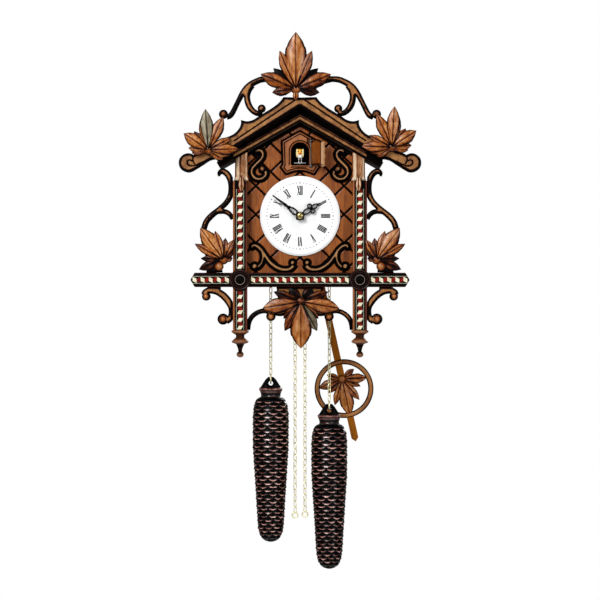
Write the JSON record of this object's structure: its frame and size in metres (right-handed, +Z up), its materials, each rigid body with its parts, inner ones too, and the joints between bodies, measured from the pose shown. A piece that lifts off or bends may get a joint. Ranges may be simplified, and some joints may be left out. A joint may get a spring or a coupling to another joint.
{
  "type": "cuckoo clock",
  "caption": "Carved railroad-house cuckoo clock with dial, bird door, leaf carvings, marquetry posts, ring pendulum and pine-cone weights on chains.",
  "frame": {"origin": "centre of the hanging hole at the plane of the wall", "axes": "+X to the right seen from the front, +Y into the wall, +Z up"},
  "size_m": [0.2662, 0.146, 0.5924],
  "materials": {
    "carved_walnut": "oiled, edges darkened",
    "carved_leaf": "oiled, edges darkened",
    "case_wood": "oiled",
    "dark_wood": "dark stain",
    "plain_wood": "unfinished",
    "rod_wood": "stained",
    "inlay": "marquetry in pale, red and green veneer",
    "dial_white": "white enamel paint",
    "brass": "brushed",
    "brass_chain": "bright",
    "steel": "drawn",
    "black_hands": "satin black",
    "bird_paint": "painted",
    "iron_cone": "dark brown paint, rubbed on the scales"
  },
  "bodies": {
    "case": {"case_side_left": "case_wood", "case_side_right": "case_wood", "case_bottom": "case_wood", "back_rail": "case_wood", "front_panel": "case_wood", "roof_left": "dark_wood", "roof_right": "dark_wood", "gable_fascia": "carved_walnut", "top_scroll_left": "carved_walnut", "top_scroll_right": "carved_walnut", "top_leaf": "carved_leaf", "roof_leaf_left": "carved_leaf", "roof_leaf_right": "carved_leaf", "side_scroll_left": "carved_walnut", "side_scroll_right": "carved_walnut", "side_leaf_left": "carved_leaf", "side_leaf_right": "carved_leaf", "post_left": "dark_wood", "post_right": "dark_wood", "pilasters": "carved_walnut", "cross_beam": "dark_wood", "rosettes": "dark_wood", "inlay_strips": "inlay", "lower_scrolls": "carved_walnut", "bottom_leaf": "carved_leaf", "panel_fretwork": "carved_walnut", "door_surround": "case_wood", "dial": "dial_white", "front_plate": "brass", "back_plate": "brass", "gong": "steel", "whistle_boxes": "plain_wood"},
    "minute": {"centre_arbor": "brass", "minute_hand": "black_hands", "hand_nut": "brass"},
    "hour": {"hour_hand": "black_hands"},
    "motion": {"minute_wheel": "brass"},
    "third": {"third_arbor": "brass"},
    "escape": {"escape_arbor": "brass"},
    "going_great": {"going_great_wheel": "brass"},
    "strike_great": {"strike_great_wheel": "brass"},
    "cam": {"cam_arbor": "brass"},
    "fly_arbor": {"fly": "brass"},
    "going_chain_wheel": {"going_sprocket": "brass"},
    "strike_chain_wheel": {"strike_sprocket": "brass"},
    "pendulum": {"verge": "steel", "pendulum_rod": "rod_wood"},
    "pendulum_bob": {"pendulum_ring": "carved_leaf"},
    "cuckoo": {"bird": "bird_paint"},
    "cuckoo_door": {"bird_door": "case_wood"},
    "bellows_left": {"bellows_top_left": "plain_wood"},
    "bellows_right": {"bellows_top_right": "plain_wood"},
    "hammer": {"gong_hammer": "steel"},
    "rear_door": {"back_door": "plain_wood"},
    "left_weight": {"weight_left": "iron_cone", "left_chain": "brass_chain"},
    "left_tail": {"left_chain_tail": "brass_chain"},
    "right_weight": {"weight_right": "iron_cone", "right_chain": "brass_chain"},
    "right_tail": {"right_chain_tail": "brass_chain"}
  },
  "joints": [
    {"name": "minute_turn", "type": "hinge", "parent": "case", "child": "minute", "pos_m": [0, 0, -0.0925], "axis": [0, 1, 0], "continuous": true},
    {"name": "hour_turn", "type": "hinge", "parent": "case", "child": "hour", "pos_m": [0, 0, -0.0925], "axis": [0, 1, 0], "continuous": true},
    {"name": "motion_turn", "type": "hinge", "parent": "case", "child": "motion", "pos_m": [0, 0, -0.1037], "axis": [0, 1, 0], "continuous": true},
    {"name": "third_turn", "type": "hinge", "parent": "case", "child": "third", "pos_m": [0.0123, 0, -0.0815], "axis": [0, 1, 0], "continuous": true},
    {"name": "escape_turn", "type": "hinge", "parent": "case", "child": "escape", "pos_m": [0, 0, -0.076], "axis": [0, 1, 0], "continuous": true},
    {"name": "going_great_turn", "type": "hinge", "parent": "case", "child": "going_great", "pos_m": [0.019, 0, -0.1164], "axis": [0, 1, 0], "continuous": true},
    {"name": "strike_great_turn", "type": "hinge", "parent": "case", "child": "strike_great", "pos_m": [-0.019, 0, -0.1164], "axis": [0, 1, 0], "continuous": true},
    {"name": "cam_turn", "type": "hinge", "parent": "case", "child": "cam", "pos_m": [-0.027, 0, -0.0869], "axis": [0, 1, 0], "continuous": true},
    {"name": "fly_turn", "type": "hinge", "parent": "case", "child": "fly_arbor", "pos_m": [-0.035, 0, -0.076], "axis": [0, 1, 0], "continuous": true},
    {"name": "pendulum_swing", "type": "hinge", "parent": "case", "child": "pendulum", "pos_m": [0, 0, -0.062], "axis": [0, 1, 0], "range_deg": [0, 25]},
    {"name": "bob_adjust", "type": "slide", "parent": "pendulum", "child": "pendulum_bob", "axis": [0.2164, 0, -0.9763], "range_m": [-0.008, 0.008]},
    {"name": "bird_slide", "type": "slide", "parent": "case", "child": "cuckoo", "axis": [0, 1, 0], "range_m": [0, 0.024]},
    {"name": "door_swing", "type": "hinge", "parent": "case", "child": "cuckoo_door", "pos_m": [0.0118, -0.1144, -0.03], "axis": [0, 0, 1], "range_deg": [-122, 0]},
    {"name": "bellows_left_lift", "type": "hinge", "parent": "case", "child": "bellows_left", "pos_m": [-0.054, -0.048, -0.0575], "axis": [1, 0, 0], "range_deg": [-16, 0]},
    {"name": "bellows_right_lift", "type": "hinge", "parent": "case", "child": "bellows_right", "pos_m": [0.054, -0.048, -0.0575], "axis": [1, 0, 0], "range_deg": [-16, 0]},
    {"name": "hammer_swing", "type": "hinge", "parent": "case", "child": "hammer", "pos_m": [-0.042, -0.016, -0.078], "axis": [0, 1, 0], "range_deg": [-3, 18]},
    {"name": "back_door_swing", "type": "hinge", "parent": "case", "child": "rear_door", "pos_m": [-0.0615, -0.002, -0.1], "axis": [0, 0, 1], "range_deg": [0, 90]},
    {"name": "left_weight_travel", "type": "slide", "parent": "case", "child": "left_weight", "axis": [0, 0, 1], "range_m": [-0.09, 0.06]},
    {"name": "left_tail_travel", "type": "slide", "parent": "case", "child": "left_tail", "axis": [0, 0, 1], "range_m": [-0.06, 0.09]},
    {"name": "strike_wheel_wind", "type": "hinge", "parent": "case", "child": "strike_chain_wheel", "pos_m": [-0.019, 0, -0.1164], "axis": [0, 1, 0], "range_deg": [-450, 450]},
    {"name": "right_weight_travel", "type": "slide", "parent": "case", "child": "right_weight", "axis": [0, 0, 1], "range_m": [-0.09, 0.06]},
    {"name": "right_tail_travel", "type": "slide", "parent": "case", "child": "right_tail", "axis": [0, 0, 1], "range_m": [-0.06, 0.09]},
    {"name": "going_wheel_wind", "type": "hinge", "parent": "case", "child": "going_chain_wheel", "pos_m": [0.019, 0, -0.1164], "axis": [0, 1, 0], "range_deg": [-450, 450]}
  ],
  "couplings": [
    {"joint": "minute_turn", "follows": "escape_turn", "ratio": 0.008},
    {"joint": "hour_turn", "follows": "escape_turn", "ratio": 0.00066667},
    {"joint": "motion_turn", "follows": "escape_turn", "ratio": -0.0026667},
    {"joint": "third_turn", "follows": "escape_turn", "ratio": -0.1},
    {"joint": "going_great_turn", "follows": "escape_turn", "ratio": -0.00066667},
    {"joint": "cam_turn", "follows": "fly_turn", "ratio": -0.1},
    {"joint": "strike_great_turn", "follows": "fly_turn", "ratio": 0.0083333},
    {"joint": "door_swing", "follows": "bird_slide", "rad_per_m": -88.721},
    {"joint": "left_tail_travel", "follows": "left_weight_travel", "ratio": -1},
    {"joint": "right_tail_travel", "follows": "right_weight_travel", "ratio": -1},
    {"joint": "strike_wheel_wind", "follows": "left_weight_travel", "rad_per_m": 74.074},
    {"joint": "going_wheel_wind", "follows": "right_weight_travel", "rad_per_m": -74.074}
  ]
}
